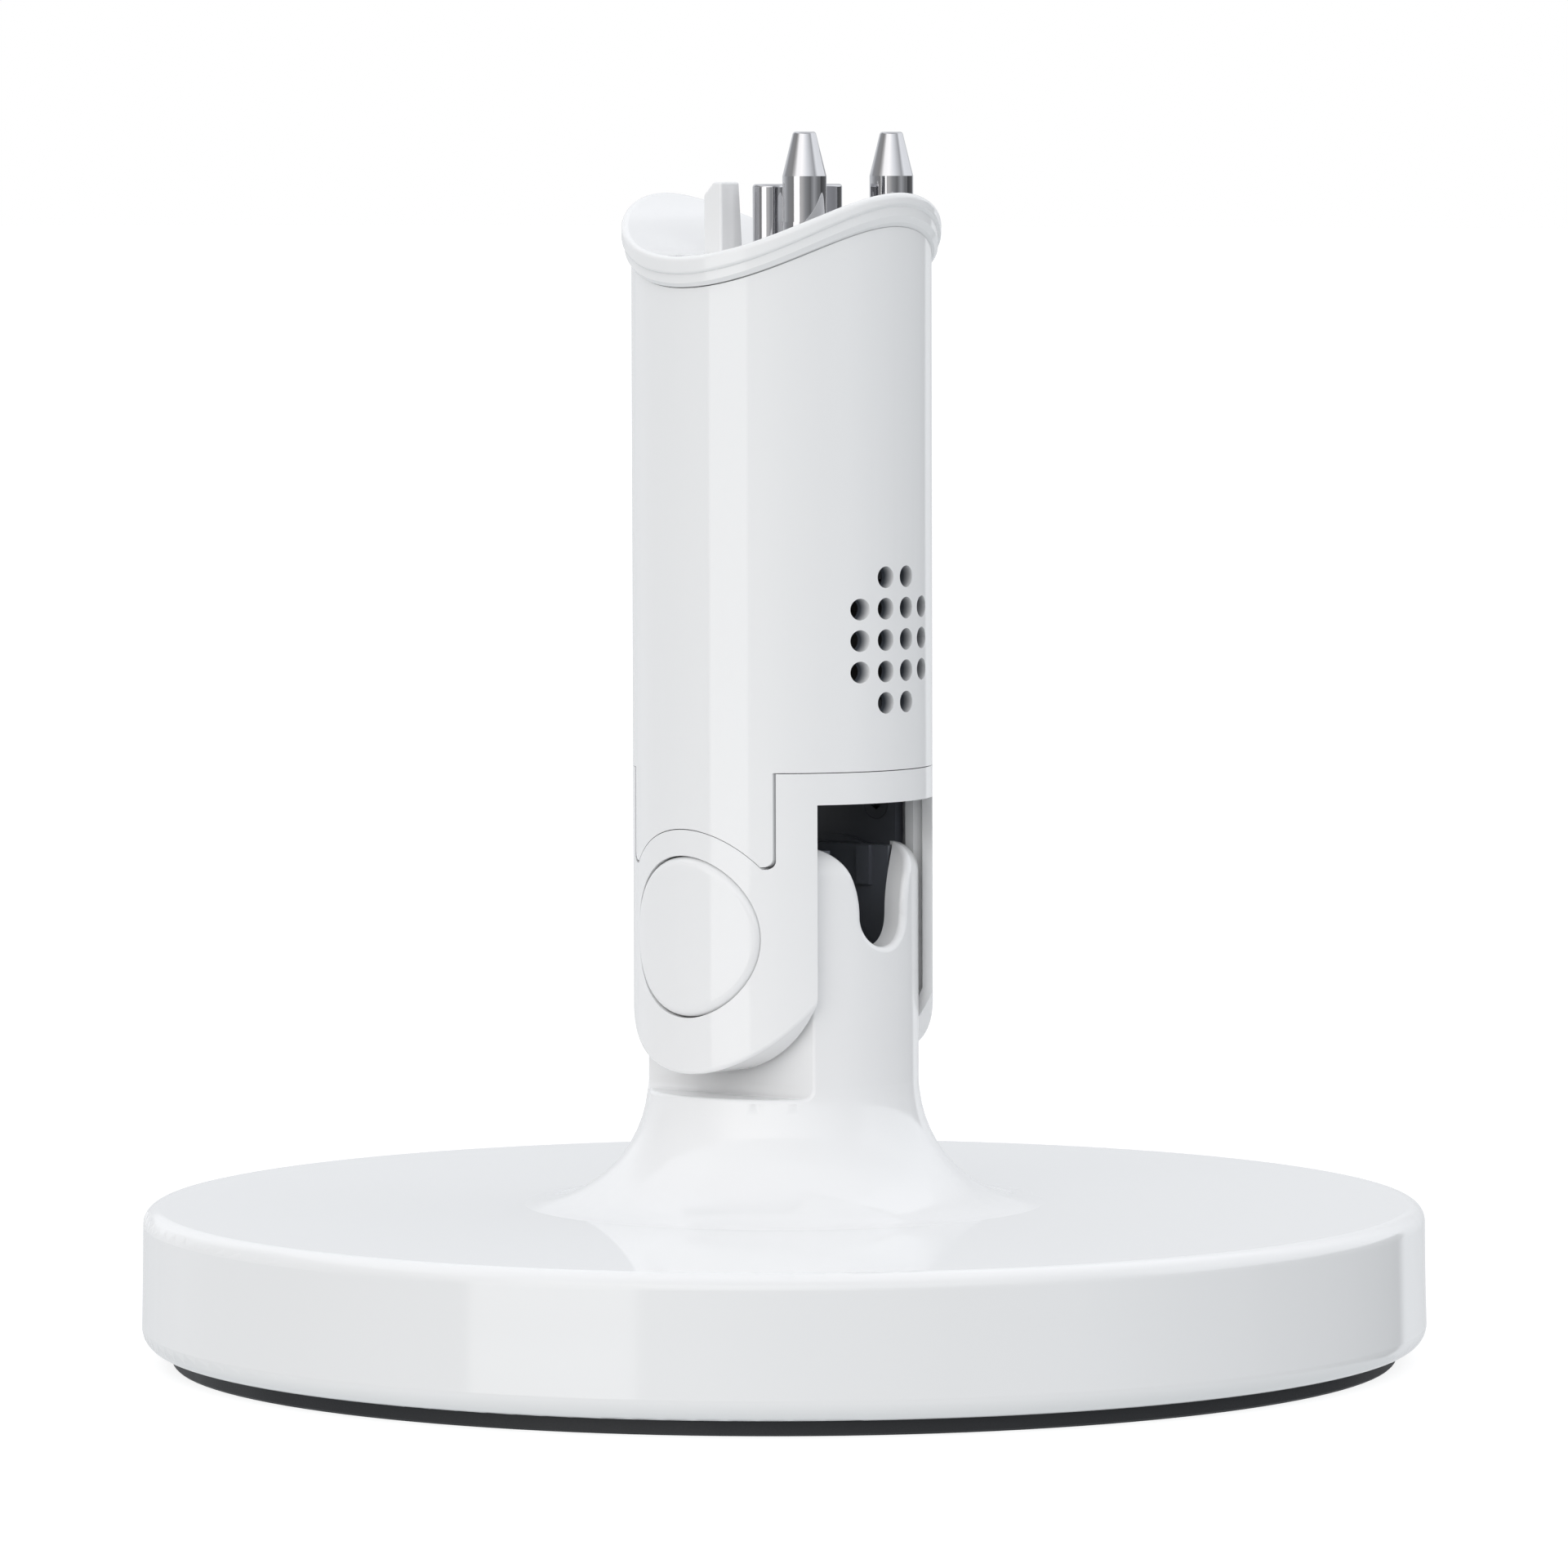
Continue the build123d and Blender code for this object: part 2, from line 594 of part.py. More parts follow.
def hinge_cap():
    """Round cover over the bolt, on the +X side. Its face follows the ear."""
    cap = x_cylinder(CAP_R, EAR_X + CHEEK_T + 0.1, 40) & z_cylinder(TUBE_R + CAP_PROUD, 0, TALL)
    face_edge = cap.edges().sort_by(Axis.X)[-1]
    cap = fillet(face_edge, CAP_EDGE)
    cup = x_cylinder(CAP_R - 1.7, 0, 40) & z_cylinder(TUBE_R - 1.6, 0, TALL)
    return cap - cup


def outer_rim(shape, radius):
    """Edges on the outside of a round slab, lowest first."""
    rims = shape.edges().filter_by(lambda e: abs(axis_distance(e @ 0.3) - radius) < 0.01 and e.length > 60)
    return rims.sort_by(Axis.Z)


def saddle_height(y):
    """Height of the saddle's surface at this y."""
    return SADDLE_TOP + SADDLE_R - sqrt(SADDLE_R ** 2 - y ** 2)


def top_cap():
    """White docking head: saddle, bead, band, spigot, pin bosses and key tongue."""
    band = z_cylinder(BAND_R, 140, TALL) & below_saddle(SADDLE_LOW + BAND_H + 0.01)
    band -= below_saddle(SADDLE_LOW)
    band = chamfer(outer_rim(band, BAND_R)[0], BAND_CHAMFER)
    bead = z_cylinder(BEAD_R, 140, TALL) & below_saddle(SADDLE_TOP)
    bead -= below_saddle(SADDLE_LOW + BAND_H)
    bead = fillet(outer_rim(bead, BEAD_R)[0], BEAD_LOW_EDGE)
    bead = fillet(outer_rim(bead, BEAD_R)[-1], BEAD_TOP_EDGE)
    cap = band + bead
    room = z_cylinder(SPIGOT_INNER_R, 0, TALL) & below_saddle(SADDLE_TOP - ROOF_T)
    spigot = z_cylinder(TUBE_INNER_R - 0.1, SPIGOT_LOW, TALL) & below_saddle(SADDLE_LOW + 1)
    cap += spigot
    cap -= room
    inside = z_cylinder(TUBE_INNER_R - 0.15, 0, TALL) & below_saddle(SADDLE_TOP - ROOF_T / 2)
    for x in (-PIN_X, PIN_X):
        cap += z_cylinder(4.3, SPIGOT_LOW + 1, TALL, x, PIN_Y) & inside
        cap += z_cylinder(2.4, BOARD_Z + BOARD_T, TALL, x, BOARD_SCREW_Y) & inside
    for x in (-PIN_X, PIN_X):
        cap -= z_cylinder(PIN_SHANK_R + 0.02, PIN_LOW, TALL, x, PIN_Y)
        cap -= z_cylinder(1.05, BOARD_Z, SADDLE_TOP - 1, x, BOARD_SCREW_Y)
    cap += key_tongue()
    cap -= stadium_bar(PLUG_W + 0.5, PLUG_T + 0.5, BOARD_Z, TALL, PLUG_Y)
    cap -= Pos(DIMPLE_X, DIMPLE_Y, saddle_height(DIMPLE_Y) + 1.2) * Sphere(2.4)
    with BuildSketch(Plane.XY.offset(SADDLE_TOP - 0.9)) as drain:
        Polygon((-15.0, 1.5), (-13.1, 2.3), (-14.7, 3.2), align=None)
    return cap - extrude(drain.sketch, amount=3)


def key_tongue():
    """Tapered key beside the plug, with one rear corner cut off."""
    with BuildSketch(Plane.XZ) as front:
        low_z = SADDLE_TOP - 1.2
        Polygon((KEY_X, low_z), (KEY_X + 4.75, low_z), (KEY_X + 3.88, KEY_TOP), (KEY_X, KEY_TOP), align=None)
    key = extrude(front.sketch, amount=-KEY_DEPTH)
    top_rear = key.edges().filter_by(Axis.X).sort_by(lambda e: e.center().Z + e.center().Y)[-1]
    key = chamfer(top_rear, KEY_CHAMFER)
    upper = key.edges().filter_by(lambda e: e.center().Z > SADDLE_TOP + 1)
    return fillet(upper, 0.35)


def guide_pins():
    """Two chromed pins with tapered tips. The shank in the docking head is a little larger."""
    tip = PIN_TOP - PIN_CONE_Z
    on_base = (Align.CENTER, Align.CENTER, Align.MIN)
    pins = []
    for x in (-PIN_X, PIN_X):
        pin = z_cylinder(PIN_SHANK_R, PIN_LOW, PIN_STEP_Z) + z_cylinder(PIN_R, PIN_LOW, PIN_CONE_Z)
        pin += Pos(0, 0, PIN_CONE_Z) * Cone(PIN_R, PIN_TIP_R, tip, align=on_base)
        pin = fillet(pin.edges().sort_by(Axis.Z)[-1], 0.4)
        pins.append(Pos(x, PIN_Y, 0) * pin)
    return pins


def plug_shell():
    """Metal shell of the plug, a stadium-shaped sleeve."""
    low = BOARD_Z + BOARD_T
    shell = stadium_bar(PLUG_W, PLUG_T, low, PLUG_TOP, PLUG_Y)
    shell = fillet(shell.faces().sort_by(Axis.Z)[-1].edges(), 0.45)
    return shell - stadium_bar(PLUG_W - 1.2, PLUG_T - 1.2, low - 1, PLUG_TOP + 1, PLUG_Y)


def plug_insulator():
    """Black body of the plug: a block at the foot and a tongue for the contacts."""
    low = BOARD_Z + BOARD_T
    body = stadium_bar(PLUG_W - 1.3, PLUG_T - 1.3, low, SADDLE_TOP + 1, PLUG_Y)
    tongue = block(-6.4, 6.4, PLUG_Y - 0.6, PLUG_Y + 0.6, low, PLUG_TOP - 0.7)
    tongue = chamfer(tongue.faces().sort_by(Axis.Z)[-1].edges().filter_by(Axis.X), 0.3)
    return body + tongue


def plug_contacts():
    """Gilt strips on both faces of the plug's tongue."""
    strips = []
    for y_low in (PLUG_Y - 0.75, PLUG_Y + 0.61):
        for number in range(8):
            x = (number - 3.5) * 1.5
            strips.append(block(x - 0.4, x + 0.4, y_low, y_low + 0.14, SADDLE_TOP + 1.1, PLUG_TOP - 1.6))
    return strips


def connector_board():
    """Circuit board under the docking head."""
    board = block(-13, 13, -7.3, 8.5, BOARD_Z, BOARD_Z + BOARD_T)
    for x in (-PIN_X, PIN_X):
        board -= z_cylinder(1.3, 0, TALL, x, BOARD_SCREW_Y)
    return board


def connector_screws():
    """Two screws that hold the connector board to the docking head."""
    return [Pos(x, BOARD_SCREW_Y, BOARD_Z) * pan_screw(2.2, 1.4, 1.0, 5.0) for x in (-PIN_X, PIN_X)]


def speaker_frame():
    """Metal basket of the loudspeaker, with a front rim, a cone wall and a rear cup."""
    rim = y_cylinder(SPEAKER_R, SPEAKER_Y, SPEAKER_Y + 1.2, 0, GRILLE_Z)
    plane = Plane(origin=(0, SPEAKER_Y + 1.2, GRILLE_Z), x_dir=(1, 0, 0), z_dir=(0, 1, 0))
    wall = plane * Cone(SPEAKER_R - 0.6, 5.6, 3.0, align=(Align.CENTER, Align.CENTER, Align.MIN))
    hollow = plane * Cone(SPEAKER_R - 1.4, 4.8, 3.0, align=(Align.CENTER, Align.CENTER, Align.MIN))
    frame = rim + wall - hollow
    return frame - y_cylinder(SPEAKER_R - 1.4, -30, SPEAKER_Y + 1.2, 0, GRILLE_Z)


def speaker_cone():
    """Paper cone with its dome, inside the basket."""
    plane = Plane(origin=(0, SPEAKER_Y + 0.9, GRILLE_Z), x_dir=(1, 0, 0), z_dir=(0, 1, 0))
    cone = plane * Cone(8.4, 4.4, 3.0, align=(Align.CENTER, Align.CENTER, Align.MIN))
    cone -= Pos(0, -0.4, 0) * (plane * Cone(8.4, 4.4, 3.0, align=(Align.CENTER, Align.CENTER, Align.MIN)))
    dome = Pos(0, SPEAKER_Y + 4.6, GRILLE_Z) * Sphere(4.2)
    dome &= y_cylinder(4.2, SPEAKER_Y, SPEAKER_Y + 3.7, 0, GRILLE_Z)
    return cone + dome


def speaker_magnet():
    """Magnet behind the basket."""
    low = SPEAKER_Y + 4.25
    magnet = y_cylinder(6.5, low, low + 4.0, 0, GRILLE_Z)
    return chamfer(magnet.edges().filter_by(GeomType.CIRCLE), 0.4)


def speaker_gasket():
    """Foam ring that fills the gap between the loudspeaker and the curved wall of the tube."""
    ring = y_cylinder(SPEAKER_R - 0.2, -TUBE_INNER_R - 1, SPEAKER_Y - 0.02, 0, GRILLE_Z)
    ring -= y_cylinder(SPEAKER_R - 1.6, -30, 0, 0, GRILLE_Z)
    return ring & z_cylinder(TUBE_INNER_R - 0.05, 0, TALL)


def amplifier_board():
    """Circuit board on the front of the arm frame's upright plate."""
    board = block(-12, 12, AMPLIFIER_Y + 0.02, UPRIGHT_Y - 0.02, AMPLIFIER_SCREW_Z[0] - 5, UPRIGHT_TOP - 1)
    for x in BOARD_HOLE_X:
        for z in AMPLIFIER_SCREW_Z:
            board -= y_cylinder(1.3, 0, 5, x, z)
    return board


def amplifier_parts():
    """Chips, coils and sockets on the amplifier board."""
    front = AMPLIFIER_Y
    parts = [block(-4, 4, front - 1.4, front, 117, 125), block(-8, -3, front - 1.1, front, 107, 112)]
    parts += [y_cylinder(2.0, front - 3.5, front, x, 112) for x in (3, 8)]
    parts += [block(-3.5, 3.5, front - 3.2, front, 129.5, 133.5), block(-1.5, 6, front - 0.8, front, 92, 94)]
    return parts


def amplifier_screws():
    """Four screws that hold the amplifier board."""
    screws = []
    for x in BOARD_HOLE_X:
        for z in AMPLIFIER_SCREW_Z:
            plane = Plane(origin=(x, AMPLIFIER_Y, z), x_dir=(1, 0, 0), z_dir=(0, 1, 0))
            screws.append(plane * pan_screw(1.9, 1.2, 1.0, 3.4))
    return screws


def arm_lead():
    """Internal lead from the connector board down to the hinge."""
    with BuildLine() as route:
        Line((0, LEAD_Y, ARM_LEAD_LOW), (0, LEAD_Y, BOARD_Z - 0.05))
    with BuildSketch(Plane(route.line @ 0, z_dir=route.line % 0)) as section:
        Circle(LEAD_R)
    return sweep(section.sketch, path=route.line)


def mirrored(shape):
    """The shape on the -X side of the hinge."""
    return mirror(shape, about=Plane.YZ)


NODES = {
    "base_shell": base_shell,
    "bottom_plate": bottom_plate,
    "rubber_pad": rubber_pad,
    "ballast_weight": ballast_weight,
    "base_screws": base_screws,
    "inlet_board": inlet_board,
    "inlet_board_screws": inlet_board_screws,
    "inlet_socket": inlet_socket,
    "base_lead": base_lead,
    "lead_plug": lead_plug,
    "hinge_frame": hinge_frame,
    "frame_screws": frame_screws,
    "hinge_bush_right": hinge_bush,
    "hinge_bush_left": lambda: mirrored(hinge_bush()),
    "yoke": yoke,
    "tube_shell": tube_shell,
    "arm_frame": arm_frame,
    "yoke_screws": yoke_screws,
    "hinge_bolt": hinge_bolt,
    "hinge_nut": hinge_nut,
    "spring_washers": spring_washers,
    "friction_washer_right": friction_washer,
    "friction_washer_left": lambda: mirrored(friction_washer()),
    "hinge_cap_right": hinge_cap,
    "hinge_cap_left": lambda: mirrored(hinge_cap()),
    "top_cap": top_cap,
    "guide_pins": guide_pins,
    "plug_shell": plug_shell,
    "plug_insulator": plug_insulator,
    "plug_contacts": plug_contacts,
    "connector_board": connector_board,
    "connector_screws": connector_screws,
    "speaker_frame": speaker_frame,
    "speaker_cone": speaker_cone,
    "speaker_magnet": speaker_magnet,
    "speaker_gasket": speaker_gasket,
    "amplifier_board": amplifier_board,
    "amplifier_parts": amplifier_parts,
    "amplifier_screws": amplifier_screws,
    "arm_lead": arm_lead,
}

os.makedirs("parts", exist_ok=True)
for name, make in NODES.items():
    shape = make()
    solids = shape if isinstance(shape, list) else [shape]
    export_step(Compound(label=name, children=list(solids)), f"parts/{name}.step")
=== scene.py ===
"""Looks of the tilting docking stand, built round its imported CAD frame."""

import math

import bpy
from mathutils import Matrix, Vector

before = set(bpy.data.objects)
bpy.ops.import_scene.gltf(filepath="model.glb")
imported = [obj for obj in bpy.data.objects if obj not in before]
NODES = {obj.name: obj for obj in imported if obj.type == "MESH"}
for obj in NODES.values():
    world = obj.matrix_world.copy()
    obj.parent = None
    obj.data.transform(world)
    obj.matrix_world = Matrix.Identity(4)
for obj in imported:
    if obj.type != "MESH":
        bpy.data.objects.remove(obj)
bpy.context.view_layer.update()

# Camera: where it stands, seen from the object's axis (m), how far it looks down (degrees), how
# far it is rolled (radians) and its lens
TO_CAMERA = Vector((-0.7552, -0.6556, 0.0)).normalized()
CAMERA_RIGHT = Vector((-TO_CAMERA.y, TO_CAMERA.x, 0.0))
CAMERA_DISTANCE = 1.34726
CAMERA_HEIGHT = 0.16642
CAMERA_PITCH = 3.6451
CAMERA_ROLL = -0.0027
LENS_MM = 221.507
SENSOR_MM = 36.0
SHIFT_X = 0.000734

# The studio's light is a little warm on the camera's left, and a little blue elsewhere
WARM_TINT = (1.0, 0.99, 0.98)
COOL_TINT = (0.98, 1.0, 1.03)
# The walls: (direction, brightness). Degrees run from the camera, + to its right. The bright strip
# stands between -56.5 and -26.5.
WALLS = (
    (-180, 0.75),
    (-135, 0.9),
    (-95, 0.42),
    (-58, 0.36),
    (-56.5, 1.95),
    (-26.5, 2.1),
    (-25, 0.8),
    (-14, 0.8),
    (5, 0.45),
    (30, 0.25),
    (52, 0.6),
    (75, 0.3),
    (91, 0.28),
    (94, 0.1),
    (143, 0.22),
    (147, 1.0),
    (165, 0.75),
    (180, 0.75),
)
# The same walls lower down, where the bright strip has ended
SKIRT = (
    (-180, 0.75),
    (-135, 0.8),
    (-95, 0.38),
    (-58, 0.28),
    (-40, 0.6),
    (-26, 0.6),
    (-25, 0.35),
    (30, 0.15),
    (52, 0.2),
    (91, 0.14),
    (120, 0.06),
    (143, 0.14),
    (147, 0.95),
    (165, 0.75),
    (180, 0.75),
)
# The panels over the walls, and those over them
LOW_PANELS = (
    (-180, 0.85),
    (-150, 1.15),
    (-120, 0.5),
    (-75, 0.45),
    (-60, 0.9),
    (-45, 1.85),
    (-15, 2.0),
    (15, 1.4),
    (60, 0.65),
    (78, 1.45),
    (135, 1.3),
    (165, 0.7),
    (180, 0.85),
)
HIGH_PANELS = (
    (-180, 1.05),
    (-90, 1.3),
    (15, 0.6),
    (75, 0.8),
    (135, 1.3),
    (180, 1.05),
)
OVERHEAD = (1.03, 1.04, 1.07)
UNDERFOOT = (0.70, 0.73, 0.75)
# Heights, in degrees over the horizon, where one band of the studio gives way to the next
SKIRT_FROM = -18
WALLS_FROM = -6
LOW_PANELS_FROM = 8
HIGH_PANELS_FROM = 38
OVERHEAD_FROM = 60
BAND_BLUR = 1.5
BACKDROP = (1.0, 1.0, 1.0)
FLOOR_SIDE = 40.0
FLOOR_GREY = 0.30
FLOOR_ROUGHNESS = 0.9
FLOOR_GLOW = 0.8

# The stretch of the noise's values over which a surface's roughness wanders
WANDER_LOW = 0.3
WANDER_HIGH = 0.7
# Painted shade inside the post: its white gives way to a painted dark between these distances from
# its axis, m
DARK_FROM = 0.0193
WHITE_FROM = 0.0209
# The colour of that painted shade
INNER_PAINTED_SHADE = (0.13, 0.145, 0.17)
# Nodes whose finish isn't that of their material slot; the post's shell gets white with painted shade
# inside
OWN_FINISH = {"yoke_screws": "dark_screw", "tube_shell": "shell_with_painted_shade"}


def camera():
    """The camera, at the stated place, pitch and roll."""
    pitch = math.radians(CAMERA_PITCH)
    ahead = -TO_CAMERA * math.cos(pitch) - Vector((0, 0, math.sin(pitch)))
    level_up = -TO_CAMERA * math.sin(pitch) + Vector((0, 0, math.cos(pitch)))
    cr, sr = math.cos(CAMERA_ROLL), math.sin(CAMERA_ROLL)
    right = CAMERA_RIGHT * cr + level_up * sr
    up = level_up * cr - CAMERA_RIGHT * sr
    data = bpy.data.cameras.new("camera")
    data.lens = LENS_MM
    data.sensor_width = SENSOR_MM
    data.shift_x = SHIFT_X
    data.clip_start = 0.05
    data.clip_end = 100.0
    eye = bpy.data.objects.new("camera", data)
    turn = Matrix((right, up, -ahead)).transposed().to_4x4()
    place = TO_CAMERA * CAMERA_DISTANCE + Vector((0, 0, CAMERA_HEIGHT))
    eye.matrix_world = Matrix.Translation(place) @ turn
    bpy.context.scene.collection.objects.link(eye)
    bpy.context.scene.camera = eye


def node(tree, kind, **settings):
    """A new shader node, with its settings."""
    made = tree.nodes.new(kind)
    for name, value in settings.items():
        setattr(made, name, value)
    return made


def math_node(tree, operation, a, b=None):
    """A Math node's output. a and b are sockets or numbers."""
    made = node(tree, "ShaderNodeMath", operation=operation)
    for i, value in enumerate((a, b)):
        if isinstance(value, bpy.types.NodeSocket):
            tree.links.new(value, made.inputs[i])
        elif value is not None:
            made.inputs[i].default_value = value
    return made.outputs[0]


def ramp(tree, factor, stops):
    """A colour ramp's output: stops are (place from 0 to 1, colour)."""
    made = node(tree, "ShaderNodeValToRGB")
    elements = made.color_ramp.elements
    while len(elements) > 1:
        elements.remove(elements[-1])
    elements[0].position = stops[0][0]
    elements[0].color = (*stops[0][1], 1)
    for place, colour in stops[1:]:
        elements.new(place).color = (*colour, 1)
    tree.links.new(factor, made.inputs[0])
    return made.outputs[0]


def mix(tree, factor, a, b):
    """A colour mix's output. factor, a and b are sockets, numbers or colours."""
    made = node(tree, "ShaderNodeMix", data_type="RGBA")
    for socket, value in ((made.inputs[0], factor), (made.inputs[6], a), (made.inputs[7], b)):
        if isinstance(value, bpy.types.NodeSocket):
            tree.links.new(value, socket)
        elif isinstance(value, tuple):
            socket.default_value = (*value, 1)
        else:
            socket.default_value = value
    return made.outputs[2]


def ring(tree, share, stops):
    """Colour by direction round the object, from stops of (degrees, brightness)."""
    coloured = []
    for degrees, level in stops:
        tint = WARM_TINT if -90 < degrees < 0 else COOL_TINT
        coloured.append((degrees / 360 + 0.5, [level * part for part in tint]))
    return ramp(tree, share, coloured)


def studio():
    """Soft studio light that comes from all round: pale walls, a bright strip and a darker side."""
    world = bpy.data.worlds.new("studio")
    world.use_nodes = True
    tree = world.node_tree
    tree.nodes.clear()
    direction = node(tree, "ShaderNodeTexCoord").outputs["Generated"]
    ahead = node(tree, "ShaderNodeVectorMath", operation="DOT_PRODUCT")
    ahead.inputs[1].default_value = TO_CAMERA
    aside = node(tree, "ShaderNodeVectorMath", operation="DOT_PRODUCT")
    aside.inputs[1].default_value = CAMERA_RIGHT
    tree.links.new(direction, ahead.inputs[0])
    tree.links.new(direction, aside.inputs[0])
    turn = math_node(tree, "ARCTAN2", aside.outputs["Value"], ahead.outputs["Value"])
    share = math_node(tree, "MULTIPLY_ADD", turn, 0.5 / math.pi)
    share.node.inputs[2].default_value = 0.5
    split = node(tree, "ShaderNodeSeparateXYZ")
    tree.links.new(direction, split.inputs[0])
    colour = UNDERFOOT
    bands = (
        (SKIRT_FROM, ring(tree, share, SKIRT)),
        (WALLS_FROM, ring(tree, share, WALLS)),
        (LOW_PANELS_FROM, ring(tree, share, LOW_PANELS)),
        (HIGH_PANELS_FROM, ring(tree, share, HIGH_PANELS)),
        (OVERHEAD_FROM, OVERHEAD),
    )
    for start, band in bands:
        above = node(tree, "ShaderNodeMapRange", interpolation_type="SMOOTHSTEP")
        above.inputs["From Min"].default_value = math.sin(math.radians(start - BAND_BLUR))
        above.inputs["From Max"].default_value = math.sin(math.radians(start + BAND_BLUR))
        tree.links.new(split.outputs["Z"], above.inputs["Value"])
        colour = mix(tree, above.outputs["Result"], colour, band)
    lit = node(tree, "ShaderNodeBackground")
    tree.links.new(colour, lit.inputs["Color"])
    plain = node(tree, "ShaderNodeBackground")
    plain.inputs["Color"].default_value = (*BACKDROP, 1)
    seen = node(tree, "ShaderNodeLightPath").outputs["Is Camera Ray"]
    either = node(tree, "ShaderNodeMixShader")
    tree.links.new(seen, either.inputs[0])
    tree.links.new(lit.outputs[0], either.inputs[1])
    tree.links.new(plain.outputs[0], either.inputs[2])
    out = node(tree, "ShaderNodeOutputWorld")
    tree.links.new(either.outputs[0], out.inputs[0])
    bpy.context.scene.world = world


def floor():
    """A plain white floor under the object. Only the camera sees it: it lights and shades nothing."""
    mesh = bpy.data.meshes.new("floor")
    half = FLOOR_SIDE / 2
    corners = [(-half, -half, 0), (half, -half, 0), (half, half, 0), (-half, half, 0)]
    mesh.from_pydata(corners, [], [(0, 1, 2, 3)])
    plane = bpy.data.objects.new("floor", mesh)
    bpy.context.scene.collection.objects.link(plane)
    material = bpy.data.materials.new("floor_white")
    material.use_nodes = True
    shader = material.node_tree.nodes["Principled BSDF"]
    shader.inputs["Base Color"].default_value = (FLOOR_GREY, FLOOR_GREY, FLOOR_GREY, 1)
    shader.inputs["Roughness"].default_value = FLOOR_ROUGHNESS
    shader.inputs["Specular IOR Level"].default_value = 0.0
    shader.inputs["Emission Color"].default_value = (1, 1, 1, 1)
    shader.inputs["Emission Strength"].default_value = FLOOR_GLOW
    mesh.materials.append(material)
    plane.visible_glossy = False
    plane.visible_diffuse = False
    plane.visible_shadow = False


def noise(tree, place, size, detail):
    """A noise texture's output, with features of the given size in m."""
    made = node(tree, "ShaderNodeTexNoise")
    made.inputs["Scale"].default_value = 1.0 / size
    made.inputs["Detail"].default_value = detail
    tree.links.new(place, made.inputs["Vector"])
    return made.outputs["Fac"]


def surface(name, colour, second, roughness, spread, grain, depth, smear, metallic=0.0):
    """A material whose colour and gloss wander a little and whose surface is slightly uneven.

    Its colour wanders between colour and second, and its roughness by spread either way, over
    patches of the size smear. grain is the size of the unevenness and depth its height, all in m.
    """
    material = bpy.data.materials.new(name)
    material.use_nodes = True
    tree = material.node_tree
    shader = tree.nodes["Principled BSDF"]
    shader.inputs["Metallic"].default_value = metallic
    shader.inputs["IOR"].default_value = 1.5
    place = node(tree, "ShaderNodeTexCoord").outputs["Object"]
    patches = noise(tree, place, smear, 3.0)
    bumps = noise(tree, place, grain, 2.0)
    tint = mix(tree, patches, colour, second)
    tree.links.new(tint, shader.inputs["Base Color"])
    rough = node(tree, "ShaderNodeMapRange")
    rough.inputs["From Min"].default_value = WANDER_LOW
    rough.inputs["From Max"].default_value = WANDER_HIGH
    rough.inputs["To Min"].default_value = roughness - spread
    rough.inputs["To Max"].default_value = roughness + spread
    tree.links.new(patches, rough.inputs["Value"])
    tree.links.new(rough.outputs["Result"], shader.inputs["Roughness"])
    bump = node(tree, "ShaderNodeBump")
    bump.inputs["Strength"].default_value = 1.0
    bump.inputs["Distance"].default_value = depth
    tree.links.new(bumps, bump.inputs["Height"])
    tree.links.new(bump.outputs["Normal"], shader.inputs["Normal"])
    return material


def paint_inner_shade(material):
    """Paint shade into the white material where it lies deep inside the post: painted shade on the
    inner wall, seen through the grille's holes.
    """
    tree = material.node_tree
    shader = tree.nodes["Principled BSDF"]
    white = shader.inputs["Base Color"].links[0].from_socket
    place = node(tree, "ShaderNodeTexCoord").outputs["Object"]
    flat = node(tree, "ShaderNodeVectorMath", operation="MULTIPLY")
    flat.inputs[1].default_value = (1, 1, 0)
    tree.links.new(place, flat.inputs[0])
    radius = node(tree, "ShaderNodeVectorMath", operation="LENGTH")
    tree.links.new(flat.outputs[0], radius.inputs[0])
    whiteness = node(tree, "ShaderNodeMapRange")
    whiteness.inputs["From Min"].default_value = DARK_FROM
    whiteness.inputs["From Max"].default_value = WHITE_FROM
    tree.links.new(radius.outputs["Value"], whiteness.inputs["Value"])
    # The painted shade: white turns to a dark colour towards the post's axis
    tint = mix(tree, whiteness.outputs["Result"], INNER_PAINTED_SHADE, white)
    tree.links.new(tint, shader.inputs["Base Color"])
    return material


def white_plastic(name):
    """Glossy white plastic, as on all the outer shells."""
    return surface(
        name, (0.875, 0.88, 0.885), (0.885, 0.885, 0.885), 0.03,
        spread=0.008, grain=0.0035, depth=0.000001, smear=0.05)


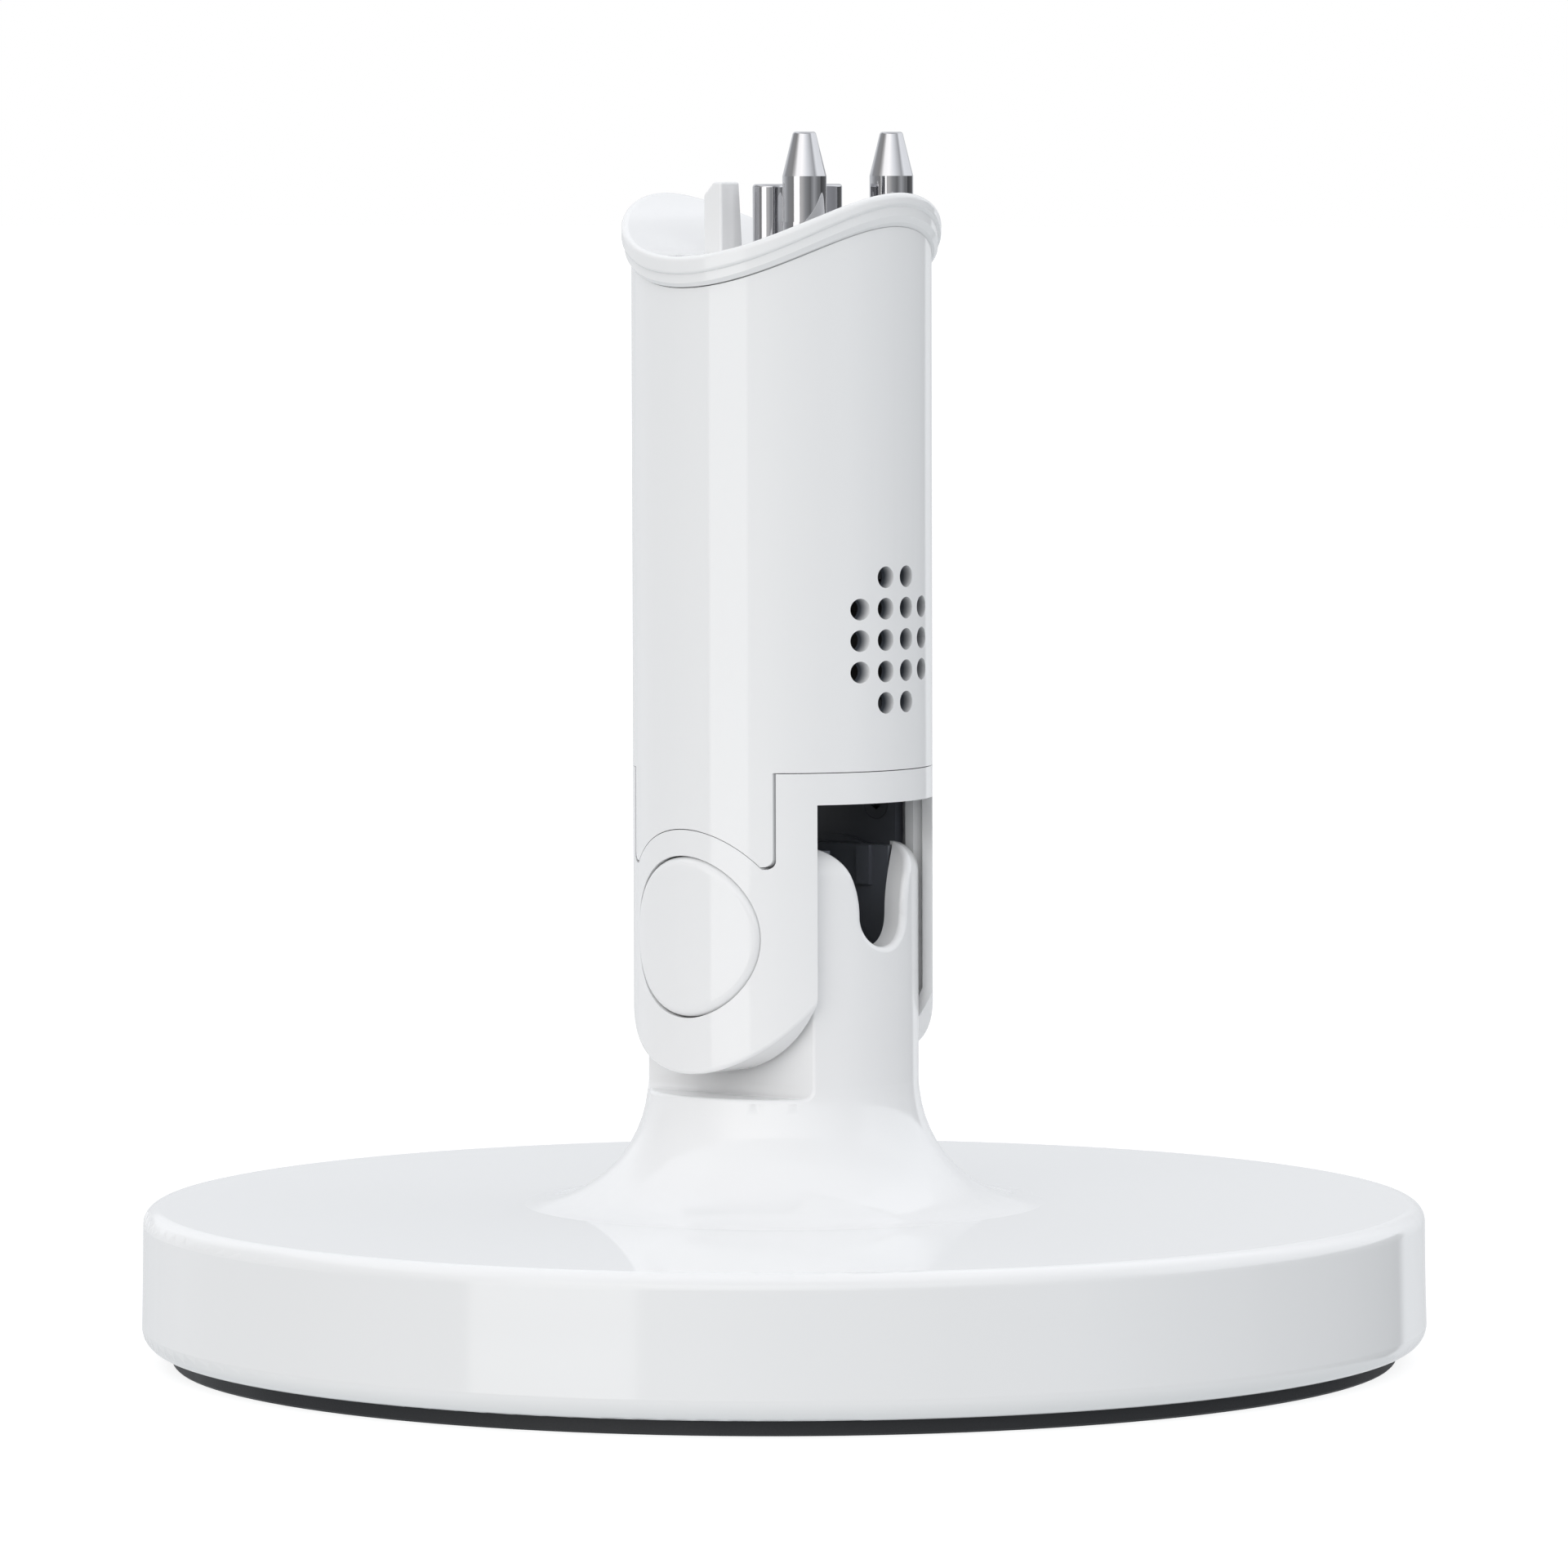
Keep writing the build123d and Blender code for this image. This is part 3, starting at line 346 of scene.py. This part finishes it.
FINISHES = {
    "white_shell": white_plastic("white_moulded_plastic"),
    # The post's shell: white plastic with painted shade on its inner wall
    "shell_with_painted_shade": paint_inner_shade(white_plastic("white_plastic_painted_inner_shade")),
    "black_plastic": surface(
        "black_moulded_plastic", (0.090, 0.098, 0.115), (0.105, 0.113, 0.130), 0.38,
        spread=0.05, grain=0.0004, depth=0.000012, smear=0.01),
    "rubber_foot": surface(
        "black_foot_rubber", (0.009, 0.010, 0.012), (0.015, 0.016, 0.019), 0.60,
        spread=0.06, grain=0.0003, depth=0.00003, smear=0.012),
    "zinc_steel": surface(
        "zinc_plated_steel", (0.62, 0.64, 0.66), (0.70, 0.70, 0.68), 0.30,
        metallic=1.0, spread=0.06, grain=0.0012, depth=0.000006, smear=0.006),
    "chrome_metal": surface(
        "bright_chrome", (0.48, 0.48, 0.50), (0.52, 0.52, 0.53), 0.06,
        metallic=1.0, spread=0.02, grain=0.0006, depth=0.0000012, smear=0.004),
    "dark_screw": surface(
        "blackened_steel", (0.10, 0.105, 0.115), (0.13, 0.135, 0.145), 0.35,
        metallic=1.0, spread=0.06, grain=0.0012, depth=0.000006, smear=0.006),
    "brass_metal": surface(
        "gold_plated_brass", (0.83, 0.62, 0.26), (0.88, 0.68, 0.32), 0.22,
        metallic=1.0, spread=0.05, grain=0.0005, depth=0.000002, smear=0.002),
    "circuit_board": surface(
        "green_circuit_board", (0.016, 0.10, 0.045), (0.022, 0.13, 0.06), 0.35,
        spread=0.06, grain=0.0008, depth=0.00002, smear=0.005),
    "speaker_paper": surface(
        "pressed_paper", (0.030, 0.029, 0.028), (0.048, 0.046, 0.044), 0.85,
        spread=0.05, grain=0.0003, depth=0.00004, smear=0.004),
    "foam": surface(
        "dark_foam", (0.035, 0.036, 0.038), (0.055, 0.056, 0.060), 0.92,
        spread=0.04, grain=0.0004, depth=0.00008, smear=0.003),
    "lead_jacket": surface(
        "lead_jacket_vinyl", (0.018, 0.018, 0.020), (0.026, 0.026, 0.028), 0.45,
        spread=0.05, grain=0.0008, depth=0.000008, smear=0.008),
}


def dress():
    """Give each CAD node the finish of its material slot, or its own."""
    for name, cad in NODES.items():
        for held in cad.material_slots:
            slot = held.material.name.split(".")[0]
            held.material = FINISHES[OWN_FINISH.get(name, slot)]


camera()
studio()
floor()
dress()
view = bpy.context.scene.view_settings
view.view_transform = "Standard"
view.look = "None"
